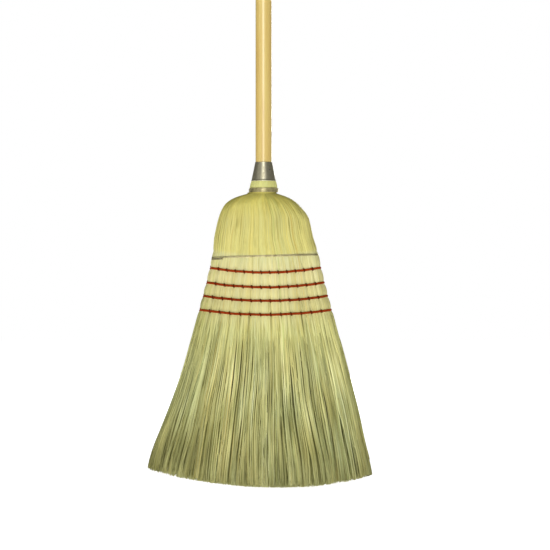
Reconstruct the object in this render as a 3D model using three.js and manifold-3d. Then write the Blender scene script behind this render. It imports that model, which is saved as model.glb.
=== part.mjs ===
// A stitched corn broom: wooden handle, tin ferrule, wire-wound neck, and a fan of broomcorn held flat
// by a wire band and four sewn rows. Millimetres, +Z up. The sweeping edge stands at z = 0, the handle
// runs up the Z axis, the broad faces look along -Y (front) and +Y (back).

import * as THREE from "three";
import { mergeVertices } from "three/addons/utils/BufferGeometryUtils.js";
import Module from "manifold-3d";

const manifold = await Module();
manifold.setup();

// ---------------------------------------------------------------- driving dimensions

const GAP = 0.3; // clearance between neighbouring pieces

const HANDLE = {
  radius: 11.9,
  bottomZ: 350,
  bottomRadius: 8,
  taperTopZ: 378,
  topZ: 1417,
  domeHeight: 9,
  endFlatRadius: 5,
  sides: 28,
};

const FERRULE = {
  bottomZ: 452.4,
  topZ: 481,
  bottomRadius: 17.9,
  topRadius: 12.6,
  wall: 0.4,
  beadRadius: 0.5,
  sides: 32,
};

const NAIL = {
  shankRadius: 0.7,
  tipLength: 1.2,
  length: 9,
  headRadius: 1.7,
  headEdgeHeight: 0.36,
  headFlatRadius: 0.85,
  headHeight: 0.6,
  sides: 8,
};

// Windings of one wire: each turn rises by pitch, and the first end may stand out by tailReach.
const NECK_WIRE = {
  radius: 0.62,
  clearance: 0.43,
  pitch: 1.42,
  turns: 4.6,
  bottomZ: 435.8,
  segmentsPerTurn: 20,
  tailReach: 4,
};
const CORE_WIRE = {
  radius: 0.62,
  clearance: 0.48,
  pitch: 1.42,
  turns: 4,
  bottomZ: 395,
  segmentsPerTurn: 16,
  tailReach: 0,
};
const TAIL_TURN = 0.16; // share of a turn in which the end leaves the winding
const WINDING_ROOM = { around: 1.1, above: 1.4 }; // left free in the shoulders round the core wire

// The corn head, bottom to top: height, half width, half depth and squareness of the section
// (2 is an ellipse, more is boxier).
const HEAD = [
  [0, 166, 23, 2.7],
  [20, 166, 24, 2.7],
  [43, 162, 23.5, 2.7],
  [90, 148, 22.5, 2.7],
  [161, 126.5, 21, 2.7],
  [235, 106, 20, 2.7],
  [306, 87.3, 21.5, 2.7],
  [345, 78.4, 24.5, 2.6],
  [380, 71, 29.5, 2.4],
  [398, 66.6, 30, 2.3],
  [416, 56.2, 28.5, 2.2],
  [425, 46.5, 26.5, 2.1],
  [429.5, 37, 24.5, 2],
  [434.8, 25.2, 22.5, 2],
];
const HEAD_SIDES = 32;
const CORNER_ROUND = 6; // taken off the half width at the trimmed edge
const EDGE_HALF_DEPTH = 21.5; // of the trimmed edge

// The trimmed sweeping edge is a shallow arc, lowest a little right of the middle.
const TRIM = { radius: 685, lowestX: 19, flatHalfWidth: 14 };
// Sections lie flat from flatZ up, and curve up fully towards their edges fadeHeight below it.
const LIFT = { flatZ: 385, fadeHeight: 40 };

// The round neck of corn under the winding, and the trimmed butts under the ferrule.
const NECK = { radius: 20.4, bottomZ: 435.4, topZ: 442.8 };
const BUTTS = { topZ: 472, coneBottomZ: 451.6, clearance: 0.4 };

const COVER_THICKNESS = 6;
const INSIDE_TOP_Z = 428.2; // the core and shoulders end here, under the cover
const CORE_NECK_RADIUS = 17;
// Height, half width and half depth that the core may fill; the shoulders lie outside it.
const CORE_LIMITS = [
  [-20, 94, 60],
  [340, 44, 60],
  [372, 24, 40],
  [385, CORE_NECK_RADIUS, CORE_NECK_RADIUS],
  [440, CORE_NECK_RADIUS, CORE_NECK_RADIUS],
];

// Stitched rows from the top down. Each curves up by ROW_RISE at the edges of the head.
const ROW_HEIGHTS = [317.6, 295.7, 275.8, 255.4];
const ROW_RISE = 7.4;
const ROW_PINCH = 1.6; // how far a row pulls the head in
const STITCHES_PER_ROW = 12;
const STITCHED_SHARE = 0.84; // of the half width
const WRAP_RADIUS = 1.2;
const LACE_RADIUS = 0.95;
const LACE_SPAN = 3.8; // above and below the wrap
const WRAP_CLEARANCE = 0.65; // the head bulges between the rows
const WRAP_END_SHIFT = 1.45; // up or down, where the two ends of a wrap lie side by side
const LACE_CREST = 1.6; // above and below the wrap, where the lace turns over it
const LACE_DEPTH = 1.5; // of the straight run through the head, below its surface
const LACE_END_SHARE = 0.6; // how far towards the back the two ends of a lace reach
const STITCH_OPENING_MARGIN = 0.45;

const WIRE_BAND = {
  radius: 0.9,
  middleZ: 341.8,
  slope: 0.027,
  tailDrop: 2,
  tailLength: 10,
  tailLean: 1.2,
  tailTurns: 1.5,
  tailSegmentsPerTurn: 8,
};

// ---------------------------------------------------------------- materials

const material = (color, roughness, metalness) =>
  new THREE.MeshStandardMaterial({ color, roughness, metalness });

const LACQUERED_WOOD = material(0xe2b878, 0.35, 0);
const TIN = material(0xb9b9a6, 0.3, 1);
const STEEL_WIRE = material(0x8e8e84, 0.35, 1);
const STEEL_NAIL = material(0x6f6f6a, 0.4, 1);
const CORN = material(0xcdc88a, 0.85, 0);
const CORE_CORN = material(0xb5ad72, 0.9, 0);
const RED_TWINE = material(0x9c3418, 0.9, 0);

// ---------------------------------------------------------------- sections of the head

const clamp01 = (value) => Math.min(1, Math.max(0, value));

// A row of a table whose first column is height, interpolated at height z.
function rowAt(table, z) {
  const above = table.findIndex((row) => row[0] >= z);
  if (above === 0) return table[0];
  if (above < 0) return table[table.length - 1];
  const [low, high] = [table[above - 1], table[above]];
  const share = (z - low[0]) / (high[0] - low[0]);
  return low.map((value, k) => value + share * (high[k] - value));
}

// Height of the trimmed edge above z = 0, at x.
function trimHeight(x) {
  const away = Math.max(0, Math.abs(x - TRIM.lowestX) - TRIM.flatHalfWidth);
  return TRIM.radius - Math.sqrt(TRIM.radius ** 2 - away ** 2);
}

// Strands fan out, so a section that crosses them all curves up towards its edges: like the trimmed
// edge at the bottom, like the stitched rows in the middle, and not at all from the shoulders up.
function sectionLift(z, x, halfWidth) {
  const trimmed = clamp01(1 - z / ROW_HEIGHTS[ROW_HEIGHTS.length - 1]);
  const flat = clamp01((LIFT.flatZ - z) / LIFT.fadeHeight);
  return trimmed * trimHeight(x) + (1 - trimmed) * flat * ROW_RISE * (x / halfWidth) ** 2;
}

// The section whose middle is at height z, with its half width taken where its edges are.
function headSection(z) {
  const [, guess, halfDepth, squareness] = rowAt(HEAD, z);
  const edgeLift = (sectionLift(z, guess, guess) + sectionLift(z, -guess, guess)) / 2;
  const [, halfWidth] = rowAt(HEAD, z + edgeLift);
  return { z, halfWidth, halfDepth, squareness };
}

// A point of a section, moved out along its normal by offset.
function sectionPoint(section, angle, offset = 0) {
  const { halfWidth, halfDepth, squareness, z } = section;
  const [c, s] = [Math.cos(angle), Math.sin(angle)];
  const power = 2 / squareness;
  const x = Math.sign(c) * halfWidth * Math.abs(c) ** power;
  const y = Math.sign(s) * halfDepth * Math.abs(s) ** power;
  const steep = power * (squareness - 1);
  const normal = new THREE.Vector2(
    (Math.sign(c) * Math.abs(c) ** steep) / halfWidth,
    (Math.sign(s) * Math.abs(s) ** steep) / halfDepth,
  ).normalize();
  const lift = sectionLift(z, x, halfWidth);
  return new THREE.Vector3(x + normal.x * offset, y + normal.y * offset, z + lift);
}

// ---------------------------------------------------------------- geometry helpers

// A closed body through a stack of rings of equal length, bottom ring first, each running
// anticlockwise seen from above and starting at +X. The ends are closed by strips across the ring.
function loft(rings) {
  const count = rings[0].length;
  const positions = rings.flat().flatMap((p) => [p.x, p.y, p.z]);
  const index = [];
  for (let r = 0; r + 1 < rings.length; r++)
    for (let i = 0; i < count; i++) {
      const j = (i + 1) % count;
      const [a, b, c, d] = [r * count + i, r * count + j, (r + 1) * count + j, (r + 1) * count + i];
      index.push(a, b, c, a, c, d);
    }
  const top = (rings.length - 1) * count;
  for (let i = 0; i < count / 2; i++) {
    const [a, b] = [i, i + 1];
    const [c, d] = [count - i - 1, (count - i) % count];
    if (b !== c) {
      index.push(c, b, a);
      index.push(top + a, top + b, top + c);
    }
    if (a !== d) {
      index.push(d, c, a);
      index.push(top + a, top + c, top + d);
    }
  }
  const geometry = new THREE.BufferGeometry();
  geometry.setAttribute("position", new THREE.Float32BufferAttribute(positions, 3));
  geometry.setIndex(index);
  return geometry;
}

const ringOf = (section, offset = 0) =>
  Array.from({ length: HEAD_SIDES }, (_, i) =>
    sectionPoint(section, (2 * Math.PI * i) / HEAD_SIDES, offset),
  );

const plainRing = (z, halfWidth, halfDepth, squareness) =>
  ringOf({ z, halfWidth, halfDepth, squareness });

// A polyline of given points, so that an extrusion along it has one section at each.
class PolylineCurve extends THREE.Curve {
  constructor(points) {
    super();
    this.points = points;
  }
  getPoint(t) {
    const at = t * (this.points.length - 1);
    const k = Math.min(Math.floor(at), this.points.length - 2);
    return this.points[k].clone().lerp(this.points[k + 1], at - k);
  }
  getPointAt(u) {
    return this.getPoint(u);
  }
  getTangentAt(u) {
    return this.getTangent(u);
  }
}

function strand(points, radius, sides = 4) {
  const outline = Array.from({ length: sides }, (_, i) => {
    const angle = (2 * Math.PI * i) / sides;
    return new THREE.Vector2(radius * Math.cos(angle), radius * Math.sin(angle));
  });
  return new THREE.ExtrudeGeometry(new THREE.Shape(outline), {
    steps: points.length - 1,
    extrudePath: new PolylineCurve(points),
    bevelEnabled: false,
  });
}

// A turned body about the Z axis from [radius, z] pairs.
function turned(profile, sides) {
  const points = profile.map(([radius, z]) => new THREE.Vector2(radius, z));
  return new THREE.LatheGeometry(points, sides).rotateX(Math.PI / 2);
}

function block(x, y, z, sizeX, sizeY, sizeZ) {
  return new THREE.BoxGeometry(sizeX, sizeY, sizeZ).translate(x, y, z);
}

function solidOf(geometry) {
  const bare = geometry.clone();
  bare.deleteAttribute("normal");
  bare.deleteAttribute("uv");
  const merged = mergeVertices(bare, 1e-4);
  return new manifold.Manifold(
    new manifold.Mesh({
      numProp: 3,
      vertProperties: merged.attributes.position.array,
      triVerts: new Uint32Array(merged.index.array),
    }),
  );
}

function geometryOf(solid) {
  const mesh = solid.getMesh();
  const geometry = new THREE.BufferGeometry();
  geometry.setAttribute("position", new THREE.BufferAttribute(mesh.vertProperties, 3));
  geometry.setIndex(new THREE.BufferAttribute(mesh.triVerts, 1));
  geometry.computeVertexNormals();
  return geometry;
}

const cutAll = (solid, tools) => tools.reduce((left, tool) => left.subtract(tool), solid);

// ---------------------------------------------------------------- handle

function handleProfile(grow) {
  const { radius, bottomZ, bottomRadius, taperTopZ, topZ, domeHeight, endFlatRadius } = HANDLE;
  const profile = [
    [0, bottomZ - grow],
    [bottomRadius + grow, bottomZ - grow],
    [radius + grow, taperTopZ],
  ];
  const domeSteps = 4;
  for (let k = 0; k <= domeSteps; k++) {
    const angle = ((Math.PI / 2) * k) / domeSteps;
    profile.push([
      endFlatRadius + (radius - endFlatRadius) * Math.cos(angle) + grow,
      topZ - domeHeight + domeHeight * Math.sin(angle) + grow,
    ]);
  }
  profile.push([0, topZ + grow]);
  return profile;
}

// ---------------------------------------------------------------- nails

// A nail along -X of its own frame, its head's underside at the origin. Grown, it is its own hole.
function nailGeometry(grow) {
  const { shankRadius, tipLength, length, headRadius, headHeight, sides } = NAIL;
  return turned(
    [
      [0, -length - grow],
      [shankRadius + grow, -length + tipLength - grow],
      [shankRadius + grow, -grow],
      [headRadius + grow, -grow],
      [headRadius + grow, NAIL.headEdgeHeight],
      [NAIL.headFlatRadius + grow, headHeight + grow],
      [0, headHeight + grow],
    ],
    sides,
  ).rotateY(Math.PI / 2);
}

// azimuth turns from the front (-Y) towards the right (+X)
const NAILS = {
  ferrule_nail_front: { azimuth: 33, z: 469, reach: 15.4 },
  ferrule_nail_back: { azimuth: 213, z: 469, reach: 15.4 },
  wire_end_nail: { azimuth: 235, z: 446.8, reach: 19.9 },
  wire_start_nail: { azimuth: 180, z: 406, reach: 17.7 },
};

function placeNail({ azimuth, z, reach }, grow) {
  const turn = THREE.MathUtils.degToRad(azimuth - 90);
  return nailGeometry(grow)
    .translate(reach, 0, 0)
    .rotateZ(turn)
    .translate(0, 0, z);
}

// ---------------------------------------------------------------- ferrule

function ferruleGeometry() {
  const { bottomZ, topZ, bottomRadius, topRadius, wall, beadRadius, sides } = FERRULE;
  return turned(
    [
      [bottomRadius - wall, bottomZ],
      [bottomRadius + beadRadius, bottomZ],
      [bottomRadius + beadRadius, bottomZ + 1],
      [bottomRadius - 0.2, bottomZ + 1.8],
      [topRadius, topZ],
      [topRadius - wall, topZ],
      [bottomRadius - wall, bottomZ],
    ],
    sides,
  );
}

// ---------------------------------------------------------------- wire windings

const pathRadius = (wire, coreRadius) => coreRadius + wire.radius + wire.clearance;

function windingPoints(wire, coreRadius) {
  const points = [];
  const count = Math.round(wire.turns * wire.segmentsPerTurn);
  for (let k = 0; k <= count; k++) {
    const turn = k / wire.segmentsPerTurn;
    const angle = Math.PI - 2 * Math.PI * turn;
    const leaving = wire.tailReach * clamp01(1 - turn / TAIL_TURN) ** 2;
    const radius = pathRadius(wire, coreRadius) + leaving;
    points.push(
      new THREE.Vector3(
        radius * Math.cos(angle),
        radius * Math.sin(angle),
        wire.bottomZ + wire.pitch * turn,
      ),
    );
  }
  return points;
}

// ---------------------------------------------------------------- corn

// The whole head: fan, shoulders, wound neck and trimmed butts.
function wholeHead() {
  const rings = [];
  const edge = headSection(0);
  rings.push(ringOf({ ...edge, halfWidth: edge.halfWidth - CORNER_ROUND, halfDepth: EDGE_HALF_DEPTH }));
  for (const z of [8, 90, 161, 235]) rings.push(ringOf(headSection(z)));
  for (let row = ROW_HEIGHTS.length - 1; row >= 0; row--) {
    rings.push(ringOf(rowSection(row)));
    const next = row > 0 ? ROW_HEIGHTS[row - 1] : WIRE_BAND.middleZ - 8;
    rings.push(ringOf(headSection((ROW_HEIGHTS[row] + next) / 2)));
  }
  for (const z of [345, 380, 398, 416, 425, 429.5, 434.8]) rings.push(ringOf(headSection(z)));
  const round = 2;
  const { radius, bottomZ, topZ } = NECK;
  rings.push(plainRing(bottomZ, radius, radius, round));
  rings.push(plainRing(topZ, radius, radius, round));
  const underFerrule = FERRULE.bottomRadius - FERRULE.wall - BUTTS.clearance;
  rings.push(plainRing(BUTTS.coneBottomZ, underFerrule, underFerrule, round));
  const taper = (FERRULE.bottomRadius - FERRULE.topRadius) / (FERRULE.topZ - FERRULE.bottomZ);
  const topRadius = underFerrule - taper * (BUTTS.topZ - BUTTS.coneBottomZ);
  rings.push(plainRing(BUTTS.topZ, topRadius, topRadius, round));
  return solidOf(loft(rings));
}

// The section at a stitched row, pulled in by the twine.
function rowSection(row) {
  const section = headSection(ROW_HEIGHTS[row]);
  section.halfWidth -= ROW_PINCH / 2;
  section.halfDepth -= ROW_PINCH;
  return section;
}

// The part of the head inside the cover corn; grow opens it by that much all round.
function insideHead(grow) {
  const shrink = -COVER_THICKNESS + grow;
  const rings = [];
  const edge = headSection(0);
  const bottom = ringOf(edge, shrink - CORNER_ROUND / 2);
  if (grow > 0) rings.push(bottom.map((p) => p.clone().setZ(p.z - 5)));
  rings.push(bottom);
  for (const z of [30, 120, 235, 319, 345, 380, 398, 416, 425])
    rings.push(ringOf(headSection(z), shrink));
  const top = headSection(INSIDE_TOP_Z);
  rings.push(ringOf({ ...top, z: INSIDE_TOP_Z + grow }, shrink));
  return solidOf(loft(rings));
}

// The room that the core may fill; outside it the inside of the head is shoulder corn.
function coreRoom(grow) {
  const rings = CORE_LIMITS.map(([z, halfWidth, halfDepth]) =>
    ringOf({ z, halfWidth, halfDepth, squareness: z < 380 ? 6 : 2 }, grow),
  );
  for (const ring of rings) ring.forEach((p, i, all) => (p.z = all[HEAD_SIDES / 4].z));
  return solidOf(loft(rings));
}

// One opening through the head for each stitch, where the twine comes through above the wrap and goes
// back below it.
function stitchOpenings() {
  const openings = [];
  for (let row = 0; row < ROW_HEIGHTS.length; row++)
    for (const { inside } of stitchPlaces(row)) {
      const width = 2 * (LACE_RADIUS + GAP + STITCH_OPENING_MARGIN);
      const height = 2 * (LACE_SPAN + LACE_RADIUS + GAP);
      openings.push(solidOf(block(inside.x, 0, inside.z, width, FAR, height)));
    }
  return openings;
}

// The space in front or behind, and to the left or right, with half a gap left at the middle.
const FAR = 500;
const frontOrBack = (side) => solidOf(block(0, (side * (FAR + GAP)) / 2, 0, FAR, FAR, 2 * FAR));
const leftOrRight = (side) => solidOf(block((side * (FAR + GAP)) / 2, 0, 0, FAR, FAR, 2 * FAR));

const nailHoles = Object.values(NAILS).map((nail) => solidOf(placeNail(nail, GAP)));

function cornSolids() {
  const handleHole = solidOf(turned(handleProfile(GAP), HANDLE.sides));
  const roomRadius = pathRadius(CORE_WIRE, CORE_NECK_RADIUS) + WINDING_ROOM.around;
  const roomBottomZ = CORE_WIRE.bottomZ - WINDING_ROOM.above;
  const roomTopZ = CORE_WIRE.bottomZ + CORE_WIRE.turns * CORE_WIRE.pitch + WINDING_ROOM.above;
  const roomProfile = [
    [0, roomBottomZ],
    [roomRadius, roomBottomZ],
    [roomRadius, roomTopZ],
    [0, roomTopZ],
  ];
  const windingRoom = solidOf(turned(roomProfile, HANDLE.sides));
  const common = [handleHole, ...nailHoles, ...stitchOpenings()];
  const inside = insideHead(0);
  const shoulders = inside.subtract(coreRoom(GAP)).subtract(windingRoom);
  const cover = wholeHead().subtract(insideHead(GAP));
  return {
    core_corn: cutAll(inside.intersect(coreRoom(0)), common),
    left_shoulder_corn: cutAll(shoulders.intersect(leftOrRight(-1)), common),
    right_shoulder_corn: cutAll(shoulders.intersect(leftOrRight(1)), common),
    front_cover_corn: cutAll(cover.intersect(frontOrBack(-1)), common),
    back_cover_corn: cutAll(cover.intersect(frontOrBack(1)), common),
  };
}

// ---------------------------------------------------------------- stitching

// The twine laid round the head at one row, a little more than one turn from the left edge, with its
// two ends side by side there.
function wrapPoints(row) {
  const section = rowSection(row);
  const step = (2 * Math.PI) / HEAD_SIDES;
  const last = HEAD_SIDES / 2 + 1;
  const overlap = 2 * step;
  const fade = 0.4;
  const points = [];
  for (let i = -last; i <= last; i++) {
    const point = sectionPoint(section, i * step, WRAP_RADIUS + WRAP_CLEARANCE);
    const fromEnd = (last - Math.abs(i)) * step;
    point.z += Math.sign(i) * WRAP_END_SHIFT * clamp01((overlap + fade - fromEnd) / fade);
    points.push(point);
  }
  return points;
}

// Where each stitch of a row crosses the wrap: a point on the front face, its normal, and the point
// inside the head from which the twine runs straight through to the back.
function stitchPlaces(row) {
  const section = rowSection(row);
  const places = [];
  for (let k = 0; k < STITCHES_PER_ROW; k++) {
    const share = STITCHED_SHARE * ((2 * k) / (STITCHES_PER_ROW - 1) - 1);
    const cosine = Math.sign(share) * Math.abs(share) ** (section.squareness / 2);
    const angle = -Math.acos(cosine);
    const surface = sectionPoint(section, angle);
    const normal = sectionPoint(section, angle, 1).sub(surface);
    const inside = surface.clone().addScaledVector(normal, -LACE_DEPTH);
    places.push({ surface, normal, inside });
  }
  return places;
}

// The sewing twine of one row: through the head, down over the wrap on the front, back through, and
// slanting up over the wrap on the back to the next stitch.
function lacePoints(row) {
  const over = 2 * WRAP_RADIUS + WRAP_CLEARANCE + GAP + LACE_RADIUS + 0.1;
  const places = stitchPlaces(row);
  const points = [];
  const add = (point, dz, side) => points.push(new THREE.Vector3(point.x, side * point.y, point.z + dz));
  places.forEach(({ surface, normal, inside }, k) => {
    const outer = surface.clone().addScaledVector(normal, over);
    if (k === 0) add(inside, LACE_SPAN, -LACE_END_SHARE);
    add(inside, LACE_SPAN, 1);
    add(outer, LACE_CREST, 1);
    add(outer, -LACE_CREST, 1);
    add(inside, -LACE_SPAN, 1);
    const next = places[k + 1];
    if (!next) {
      add(inside, -LACE_SPAN, -LACE_END_SHARE);
      return;
    }
    const nextOuter = next.surface.clone().addScaledVector(next.normal, over);
    add(inside, -LACE_SPAN, -1);
    add(outer.clone().lerp(nextOuter, 0.1), -LACE_CREST, -1);
    add(outer.clone().lerp(nextOuter, 0.9), LACE_CREST, -1);
    add(next.inside, LACE_SPAN, -1);
  });
  return points;
}

// ---------------------------------------------------------------- wire band

// One wire round the shoulders, its two ends twisted together into a short tail near the left edge.
function wireBandPoints() {
  const { radius, middleZ, slope, tailTurns } = WIRE_BAND;
  const section = headSection(middleZ);
  const step = (2 * Math.PI) / HEAD_SIDES;
  const tailAt = -HEAD_SIDES / 2 + 1;
  const at = (i, offset) => {
    const { x } = sectionPoint(section, i * step);
    const level = middleZ + slope * x;
    const lift = sectionLift(level, x, section.halfWidth);
    return sectionPoint(headSection(level - lift), i * step, offset).setZ(level);
  };
  const spread = radius + GAP / 2;
  const clear = radius + 2 * GAP;
  const base = at(tailAt, clear + spread);
  const outward = base.clone().sub(at(tailAt, 0)).setZ(0).normalize();
  const along = new THREE.Vector3(-outward.y, outward.x, 0);
  const tail = (side) => {
    const points = [];
    const count = Math.round(tailTurns * WIRE_BAND.tailSegmentsPerTurn);
    for (let k = 0; k <= count; k++) {
      const share = k / count;
      const angle = 2 * Math.PI * tailTurns * share;
      points.push(
        base
          .clone()
          .addScaledVector(along, side * spread * Math.cos(angle))
          .addScaledVector(outward, side * spread * Math.sin(angle) + WIRE_BAND.tailLean * share)
          .setZ(base.z - WIRE_BAND.tailDrop - WIRE_BAND.tailLength * share),
      );
    }
    return points;
  };
  const ring = [];
  for (let i = tailAt - 1; i >= tailAt - HEAD_SIDES + 1; i--) ring.push(at(i, clear));
  return [...tail(-1).reverse(), ...ring, ...tail(1)];
}

// ---------------------------------------------------------------- the broom

const broom = new THREE.Group();

function addPart(name, geometry, look) {
  const mesh = new THREE.Mesh(geometry, look);
  mesh.name = name;
  broom.add(mesh);
}

const bareHandle = solidOf(turned(handleProfile(0), HANDLE.sides));
addPart("handle", geometryOf(cutAll(bareHandle, nailHoles)), LACQUERED_WOOD);
addPart("ferrule", geometryOf(cutAll(solidOf(ferruleGeometry()), nailHoles)), TIN);
for (const [name, nail] of Object.entries(NAILS)) addPart(name, placeNail(nail, 0), STEEL_NAIL);
const winding = (wire, coreRadius) => strand(windingPoints(wire, coreRadius), wire.radius);
addPart("neck_wire_winding", winding(NECK_WIRE, NECK.radius), STEEL_WIRE);
addPart("core_wire_winding", winding(CORE_WIRE, CORE_NECK_RADIUS), STEEL_WIRE);
for (const [name, solid] of Object.entries(cornSolids()))
  addPart(name, geometryOf(solid), name === "core_corn" ? CORE_CORN : CORN);
addPart("wire_band", strand(wireBandPoints(), WIRE_BAND.radius), STEEL_WIRE);
for (let row = 0; row < ROW_HEIGHTS.length; row++) {
  addPart(`stitch_wrap_${row + 1}`, strand(wrapPoints(row), WRAP_RADIUS), RED_TWINE);
  addPart(`stitch_lace_${row + 1}`, strand(lacePoints(row), LACE_RADIUS), RED_TWINE);
}

export default broom;
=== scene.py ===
"""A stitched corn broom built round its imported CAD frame: every stalk, fibre, twine and wire is a mesh.

Lengths are worked out in millimetres and turned into metres where a mesh is made. The broom stands on
its trimmed edge at z = 0, its handle up the Z axis and its front looking along -Y.
"""

import math

import bmesh
import bpy
import numpy as np
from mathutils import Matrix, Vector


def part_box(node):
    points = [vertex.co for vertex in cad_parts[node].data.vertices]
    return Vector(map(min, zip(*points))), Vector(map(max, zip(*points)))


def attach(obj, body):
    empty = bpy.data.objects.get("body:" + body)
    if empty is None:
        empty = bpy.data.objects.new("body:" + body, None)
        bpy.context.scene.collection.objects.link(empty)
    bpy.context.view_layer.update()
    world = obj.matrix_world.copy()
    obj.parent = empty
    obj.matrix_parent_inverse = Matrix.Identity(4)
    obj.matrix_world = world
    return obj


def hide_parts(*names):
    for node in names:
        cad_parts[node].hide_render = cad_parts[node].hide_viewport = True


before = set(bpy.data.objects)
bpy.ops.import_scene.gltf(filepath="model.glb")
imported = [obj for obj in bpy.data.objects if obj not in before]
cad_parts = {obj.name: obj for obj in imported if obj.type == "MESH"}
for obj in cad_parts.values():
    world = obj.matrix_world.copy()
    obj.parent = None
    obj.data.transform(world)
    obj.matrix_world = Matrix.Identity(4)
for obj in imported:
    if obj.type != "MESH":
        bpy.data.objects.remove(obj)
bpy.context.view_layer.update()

MM = 0.001
TAU = 2 * math.pi


def node_box(node):
    """A CAD node's lowest and highest corners, in millimetres."""
    low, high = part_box(node)
    return np.array(low) / MM, np.array(high) / MM


# ---------------------------------------- sizes, from the frame

handle_low, handle_high = node_box("handle")
ferrule_low, ferrule_high = node_box("ferrule")
winding_low, winding_high = node_box("neck_wire_winding")

ROWS = 4
STITCHES = 12  # in each row
STITCHED_SHARE = 0.84  # of the half width, as in the CAD
CAD_WRAP_RADIUS = 1.2
ROW_HEIGHTS = [node_box(f"stitch_wrap_{k + 1}")[0][2] + CAD_WRAP_RADIUS for k in range(ROWS)]
LAST_ROW = ROW_HEIGHTS[-1]
ROW_RISE = 7.4  # a row curves up by this much at the edges of the head
ROW_PINCH = 1.6  # how far a row pulls the corn in

TRIM_RADIUS = 685.0  # of the arc of the trimmed edge
TRIM_LOWEST_X = 19.0
LOOSE_BELOW = 262.0  # the sewing begins to let go of the corn here
FREE_BELOW = 235.0  # and has let go of it here
TAPER_BELOW = 258.0  # the stalks begin to thin out here
NECK_RADIUS = 20.4
NECK_HIGH = winding_high[2] + 0.1
STALK_TOP = ferrule_low[2] + 4  # the butts end inside the ferrule

BAND_HEIGHT = 341.8
BAND_SLOPE = 0.027  # the wire band is a little higher at the right

# Height, half width, half depth and squareness of the head's sections, close to the CAD's.
# Squareness is 2 for an ellipse, and more for a boxier section.
HEAD = np.array(
    [
        [0, 160, 22, 2.7],
        [8, 166, 23.5, 2.7],
        [20, 166, 24, 2.7],
        [43, 162, 23.5, 2.7],
        [90, 148, 22.5, 2.7],
        [161, 126.5, 21, 2.7],
        [235, 106, 20, 2.7],
        [306, 87.3, 21.5, 2.7],
        [345, 78.4, 24.5, 2.6],
        [380, 71, 29.5, 2.4],
        [398, 66.6, 30, 2.45],
        [416, 56.2, 28.5, 2.5],
        [424.6, 46.5, 26.5, 2.4],
        [429.2, 37, 24.5, 2.2],
        [432.4, 27, 22.4, 2],
        [434.8, NECK_RADIUS, NECK_RADIUS, 2],
        [NECK_HIGH, NECK_RADIUS, NECK_RADIUS, 2],
        [STALK_TOP + 2, 16.2, 16.2, 2],
    ]
)


# ---------------------------------------- small maths


def clamp01(value):
    return np.clip(value, 0.0, 1.0)


def smooth(value):
    """A smooth step of a share between 0 and 1."""
    value = clamp01(value)
    return value * value * (3 - 2 * value)


def unit(vectors):
    return vectors / np.maximum(np.linalg.norm(vectors, axis=-1, keepdims=True), 1e-9)


def monotone_slopes(x, y):
    """Slopes at the points of a curve that never swings past them."""
    step = np.diff(x)
    slope = np.diff(y) / step
    inner = np.where(
        slope[1:] * slope[:-1] > 0,
        2 * slope[1:] * slope[:-1] / np.where(slope[1:] + slope[:-1] == 0, 1, slope[1:] + slope[:-1]),
        0,
    )
    return np.concatenate([slope[:1], inner, slope[-1:]])


def curve_through(x, y, at):
    """A smooth curve through the points, read at some x."""
    slopes = monotone_slopes(x, y)
    at = np.clip(at, x[0], x[-1])
    k = np.clip(np.searchsorted(x, at, side="right") - 1, 0, len(x) - 2)
    width = x[k + 1] - x[k]
    t = (at - x[k]) / width
    return (
        (2 * t**3 - 3 * t**2 + 1) * y[k]
        + (t**3 - 2 * t**2 + t) * width * slopes[k]
        + (3 * t**2 - 2 * t**3) * y[k + 1]
        + (t**3 - t**2) * width * slopes[k + 1]
    )


NOISE_ROWS = 80
NOISE_START = 10  # heights a little below 0 still fall on a row of their own


def drift(seed, around_share, height, cells_around, cell_height):
    """Smooth noise between -1 and 1 over the head's surface, with no join round it."""
    grid = np.random.default_rng(seed).uniform(-1, 1, (NOISE_ROWS, cells_around))
    u = np.mod(around_share, 1.0) * cells_around
    v = height / cell_height + NOISE_START
    i, j = np.floor(u).astype(int), np.floor(v).astype(int)
    fu, fv = smooth(u - i), smooth(v - j)
    i0, i1 = i % cells_around, (i + 1) % cells_around
    j0, j1 = j % NOISE_ROWS, (j + 1) % NOISE_ROWS
    low = grid[j0, i0] * (1 - fu) + grid[j0, i1] * fu
    high = grid[j1, i0] * (1 - fu) + grid[j1, i1] * fu
    return low * (1 - fv) + high * fv


class Tufts:
    """Tufts or broader locks of corn side by side round the head, each with a noise down its length."""

    def __init__(self, seed, count):
        rng = np.random.default_rng(seed)
        self.count = count
        self.gather = rng.uniform(0, 1, (NOISE_ROWS, count))
        self.sway = rng.normal(0, 1, (NOISE_ROWS, count))
        self.centre = 0.5 + 0.14 * rng.normal(0, 1, count)
        self.forward = rng.normal(0, 1, count)
        self.shorter = rng.normal(0, 1, count)

    def index(self, share):
        return np.minimum(np.floor(np.mod(share, 1.0) * self.count).astype(int), self.count - 1)

    def noise(self, grid, index, height, cell_height):
        v = height / cell_height + NOISE_START + 0.7 * self.forward[index]
        j = np.floor(v).astype(int)
        blend = smooth(v - j)
        return grid[j % NOISE_ROWS, index] * (1 - blend) + grid[(j + 1) % NOISE_ROWS, index] * blend

    def drawn(self, share, height, most, cell_height, sway_share):
        """Shares drawn together below the last stitched row, so dark gaps open between the tufts."""
        index = self.index(share)
        place = np.mod(share, 1.0) * self.count - index
        free = 0.3 * smooth((LOOSE_BELOW - height) / 26) + 0.7 * smooth((FREE_BELOW - height) / 110)
        pinch = most * self.noise(self.gather, index, height, cell_height)
        sway = sway_share * self.noise(self.sway, index, height, cell_height)
        sway = sway * clamp01(1 - height / LOOSE_BELOW)
        return share + free * (pinch * (self.centre[index] - place) + sway) / self.count


# ---------------------------------------- the head's surface


def trim_height(x):
    """Height of the trimmed edge, a shallow arc."""
    return TRIM_RADIUS - np.sqrt(TRIM_RADIUS**2 - (x - TRIM_LOWEST_X) ** 2)


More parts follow.
